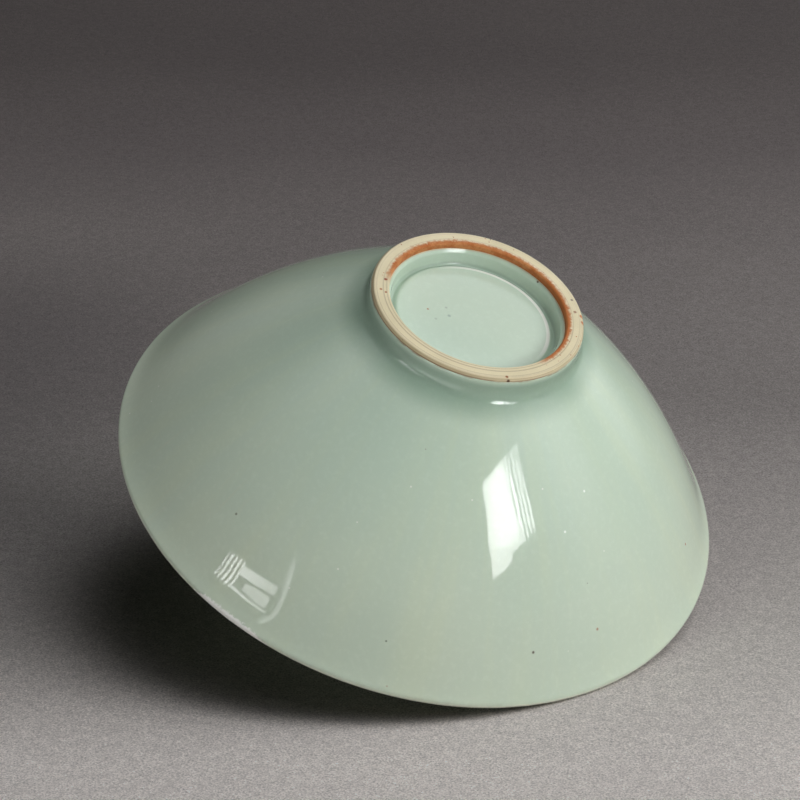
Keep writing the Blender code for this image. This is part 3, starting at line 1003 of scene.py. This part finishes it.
# soft lamps of the main camera's room: name, azimuth, elevation, strength
BOWL_LAMPS = [
    ("soft_front_right", 120, 35, 1.7),
    ("soft_high_right", 120, 60, 2.0),
    ("soft_top_right", 72, 72, 2.6),
    ("soft_right", 100, 20, 1.5),
    ("soft_behind", 30, 45, 1.3),
    ("soft_far_right", 55, 20, 2.2),
    ("soft_left", -30, 28, 0.35),
    ("soft_top_left", -100, 60, 1.00),
    ("soft_low_front", 154, 8, 0.27),
]
# and the floor's own: name, azimuth, elevation, distance, strength
FLOOR_LAMPS = [
    ("floor_high", 75, 68, 1.6, 4.2),
    ("floor_right", 91, 26, 1.0, 7.6),
    ("floor_front", 150, 65, 1.6, 0.30),
]
SOFT_DISTANCE = 1.6
SOFT_HALF_SIZE = 0.95

# lamps of the standing bowl's room
OVERHEAD_MIDDLE = Vector((-0.3, 0.0, 1.7))
OVERHEAD_HALF_X, OVERHEAD_HALF_Y = Vector((1.3, 0.0, 0.0)), Vector((0.0, 1.3, 0.0))
SOFTBOX_PLACE = Vector((0.35, 0.50, 0.95))
SOFTBOX_HALF_WIDTH, SOFTBOX_HALF_HEIGHT = 0.11, 0.17


def lamp_material(name, strength, pattern=None, window_room=True):
    """Light of even strength, or as strong as a pattern says. It doesn't hide what is behind it."""
    material, g = new_graph(name)
    power = g.times(shown_only_in(g, window_room), strength)
    if pattern:
        power = g.times(power, pattern(g, *on_sheet(g)))
    lamp = g.add("Emission", None, Color=(*WHITE, 1.0), Strength=power)
    g.surface(g.add_shader(g.add("BsdfTransparent").outputs[0], lamp.outputs[0]))
    return material


def soft_edged(g, across, up):
    """Brightest in the middle of the sheet, and nearly nothing at its edges."""
    x = g.minus(across, 0.5)
    y = g.minus(up, 0.5)
    return g.math("EXPONENT", g.times(g.plus(g.times(x, x), g.times(y, y)), -18.0))


def stretched_noise(g, across, across_scale, up, up_scale, seed, detail=2.0):
    """Noise over a sheet, finer one way than the other."""
    return g.noise(g.combine(g.times(across, across_scale), g.times(up, up_scale), seed), 1.0, detail)


def key_pattern(g, across, up):
    """A window behind a worn skin: solid in the middle, threaded on its right, and with uneven edges."""
    waver = g.times(g.minus(stretched_noise(g, across, 3.0, up, 26.0, 0.0, detail=3.0), 0.5), 0.16)
    nick = g.noise(g.combine(g.times(across, 24.0), 0.0, 5.0), 1.0)
    y = g.plus(up, g.times(g.minus(nick, 0.5), 0.12))
    low_edge = g.times(g.step(across, 0.36, 0.40), 0.10)
    sides = g.band(g.plus(across, waver), 0.03, 0.99, soft=0.03)
    inside = g.times(sides, g.step(g.minus(y, low_edge), 0.0, 0.03))
    inside = g.times(inside, g.step(y, 1.0, 0.96))

    drift = stretched_noise(g, across, 5.0, up, 2.2, 2.0)
    phase = g.plus(g.times(across, 10.0), g.times(drift, 0.9))
    threads = g.math("SINE", g.times(phase, 2 * math.pi))
    threaded = g.step(g.plus(across, g.times(up, 0.22)), 0.58, 0.80)
    gaps = g.times(g.step(threads, -0.15, -0.55), threaded)
    breaks = stretched_noise(g, across, 9.0, up, 14.0, 9.0)
    fringe = g.step(g.plus(up, g.times(across, 0.40)), 1.06, 1.22)
    torn = g.times(fringe, g.step(breaks, 0.58, 0.44))
    gaps = g.larger(g.times(gaps, 0.85), g.times(torn, 0.75))

    open_part = g.times(inside, g.minus(1.0, gaps))
    dim_end = g.minus(1.0, g.times(g.step(up, 0.40, 0.05), 0.22))
    core = g.times(g.band(across, 0.28, 0.60, soft=0.22), g.band(up, 0.42, 0.80, soft=0.25))
    level = g.plus(0.93, g.times(core, 0.50))
    return g.times(g.times(open_part, dim_end), level)


def side_pattern(g, across, up):
    """Under a bright rail: a slatted blind at one end, a pale pane in the middle and a tall one beside it."""
    below_rail = g.minus(g.plus(g.times(across, 0.34), 0.40), up)
    rail = g.times(g.band(below_rail, 0.0, 0.045, soft=0.015), g.band(across, 0.19, 0.70, soft=0.03))
    rail = g.times(rail, g.plus(0.30, g.times(across, 0.80)))

    slats = g.math("SINE", g.times(g.plus(across, g.times(up, 0.03)), 2 * math.pi * 15.0))
    slats = g.times(g.step(slats, -0.3, 0.4), g.step(across, 0.68, 0.70))
    slats = g.times(slats, g.step(below_rail, -0.05, -0.03))

    pane = g.times(g.band(across, 0.24, 0.58, soft=0.03), g.step(below_rail, 0.070, 0.095))
    wear = stretched_noise(g, across, 30.0, up, 12.0, 1.0, detail=3.0)
    pane = g.times(pane, g.plus(0.25, g.times(wear, 0.55)))

    slant = g.times(g.minus(0.75, up), 0.16)
    tall = g.times(g.band(across, 0.05, 0.09, soft=0.02), 0.36)
    wedge = g.times(g.step(g.minus(across, slant), 0.16, 0.03), g.step(below_rail, 0.02, -0.05))
    tall = g.larger(tall, g.times(wedge, 0.32))
    tall = g.times(tall, g.times(g.step(up, 0.90, 0.80), g.step(across, 0.03, 0.06)))
    light = g.larger(g.larger(rail, g.plus(slats, pane)), tall)
    return g.times(light, g.step(up, 0.0, 0.04))


def facing_corners(middle, upward, half_width, half_height):
    """Corners of a sheet that faces the bowl from its middle."""
    inward = (bowl_middle - middle).normalized()
    across = inward.cross(upward).normalized()
    return oblong(middle, across * half_width, across.cross(inward).normalized() * half_height)


def soft_lamp(name, azimuth, elevation, distance, strength):
    """A square lamp in the main camera's room, which looks as large from the bowl at any distance."""
    half_size = SOFT_HALF_SIZE * distance / SOFT_DISTANCE
    corners = facing_corners(seen_from_bowl(azimuth, elevation, distance), floor_up, half_size, half_size)
    return sheet(name, corners, lamp_material(name, strength, soft_edged))


def patterned_lamp(name, corners, strength, pattern):
    material = lamp_material(name, strength, pattern)
    return sheet(name, [seen_from_bowl(*corner) for corner in corners], material)


def floor_card():
    """A bright card lying on the floor in front of the view."""
    foot = CAMERA_PLACE - floor_up * ((CAMERA_PLACE - lip_touch).dot(floor_up) - CARD_LIFT)
    middle = foot + camera_right * (CARD_LEFT + CARD_RIGHT) / 2 + level_ahead * (CARD_NEAR + CARD_FAR) / 2
    half_across = camera_right * (CARD_RIGHT - CARD_LEFT) / 2
    half_ahead = level_ahead * (CARD_FAR - CARD_NEAR) / 2
    material = lamp_material("card_left", CARD_STRENGTH)
    return sheet("card_left", oblong(middle, half_across, half_ahead), material)


def floor_only_collection(state):
    """A receiver group for a lamp: the lying floor alone ("INCLUDE"), or everything but it ("EXCLUDE")."""
    group = bpy.data.collections.new("lying_floor_" + state.lower())
    group.objects.link(bpy.data.objects["lying_floor"])
    group.collection_objects[0].light_linking.link_state = state
    return group


def window_room_lamps():
    """The bowl and the floor are lit apart, as a photographer does with flags, so its shadow stays deep."""
    bowl_lamps = [
        patterned_lamp("key_lamp", KEY_CORNERS, KEY_STRENGTH, key_pattern),
        patterned_lamp("side_lamp", SIDE_CORNERS, SIDE_STRENGTH, side_pattern),
        floor_card(),
    ]
    for name, azimuth, elevation, strength in BOWL_LAMPS:
        bowl_lamps.append(soft_lamp(name, azimuth, elevation, SOFT_DISTANCE, strength))
    floor_lamps = [soft_lamp(*settings) for settings in FLOOR_LAMPS]
    for lamps, state in ((bowl_lamps, "EXCLUDE"), (floor_lamps, "INCLUDE")):
        receivers = floor_only_collection(state)
        for lamp in lamps:
            lamp.light_linking.receiver_collection = receivers


def standing_room_lamps():
    """One wide soft lamp overhead, and two small bright ones that the glaze mirrors."""
    overhead = lamp_material("overhead_lamp", OVERHEAD_STRENGTH, soft_edged, window_room=False)
    sheet("overhead_lamp", oblong(OVERHEAD_MIDDLE, OVERHEAD_HALF_X, OVERHEAD_HALF_Y), overhead)
    for name, side in (("softbox_front", -1), ("softbox_back", 1)):
        material = lamp_material(name, SOFTBOX_STRENGTH, window_room=False)
        middle = Vector((side * SOFTBOX_PLACE.x, side * SOFTBOX_PLACE.y, SOFTBOX_PLACE.z))
        upright = Vector((0.0, 0.0, 1.0))
        sheet(name, facing_corners(middle, upright, SOFTBOX_HALF_WIDTH, SOFTBOX_HALF_HEIGHT), material)


make_camera()
clear_pane()
lying_floor()
standing_floor()
make_world()
window_room_lamps()
standing_room_lamps()

scene = bpy.context.scene
scene.view_settings.view_transform = "Standard"
scene.cycles.transparent_max_bounces = 16
